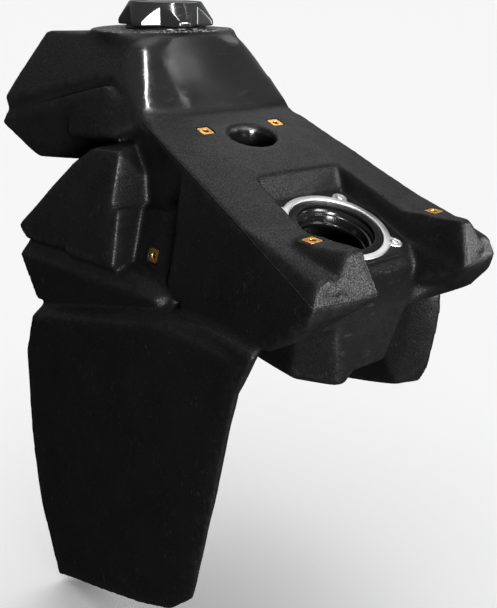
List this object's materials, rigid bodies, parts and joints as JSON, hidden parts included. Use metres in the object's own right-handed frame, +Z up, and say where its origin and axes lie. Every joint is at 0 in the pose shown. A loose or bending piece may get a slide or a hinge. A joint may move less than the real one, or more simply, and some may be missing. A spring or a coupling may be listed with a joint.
{
  "type": "motorcycle fuel tank",
  "caption": "Black moulded off-road motorcycle fuel tank with a long left wing, a short right wing, a screw filler cap, a ringed pump opening and brass mounting inserts.",
  "frame": {"origin": "on the filler axis, level with the pad that the filler neck stands on", "axes": "+Z up along the filler axis, +Y towards the front of the motorcycle, +X to its right"},
  "size_m": [0.299, 0.391, 0.5614],
  "materials": {
    "moulded_black": "matte_plastic",
    "neck_black": "satin",
    "cap_black": "gloss_plastic",
    "rubber": "matte",
    "aluminium": "satin",
    "brass": "satin"
  },
  "bodies": {
    "tank": {"tank_shell": "moulded_black", "filler_neck": "neck_black", "neck_seal": "rubber", "pump_ring": "aluminium", "pump_ring_rivet_1": "aluminium", "pump_ring_rivet_2": "aluminium", "pump_ring_rivet_3": "aluminium", "pump_ring_rivet_4": "aluminium", "insert_deck_left": "brass", "insert_deck_right": "brass", "insert_tail_left": "brass", "insert_tail_right": "brass", "insert_upper_left": "brass", "insert_upper_right": "brass", "insert_lower_left": "brass", "insert_lower_right": "brass"},
    "gasket": {"cap_gasket": "rubber"},
    "cap": {"filler_cap": "cap_black", "cap_vent_plug": "neck_black", "cap_vent_retainer": "brass"},
    "vent_ball": {"cap_vent_ball": "brass"}
  },
  "joints": [
    {"name": "cap_lift", "type": "slide", "parent": "tank", "child": "gasket", "axis": [0, 0, 1], "range_m": [0, 0.015]},
    {"name": "cap_turn", "type": "hinge", "parent": "gasket", "child": "cap", "pos_m": [0, 0, 0.01], "axis": [0, 0, 1], "range_deg": [0, 1080]},
    {"name": "vent_ball_lift", "type": "slide", "parent": "cap", "child": "vent_ball", "axis": [0, 0, 1], "range_m": [0, 0.002]}
  ],
  "couplings": [
    {"joint": "cap_lift", "follows": "cap_turn", "m_per_rad": 0.00079577}
  ]
}
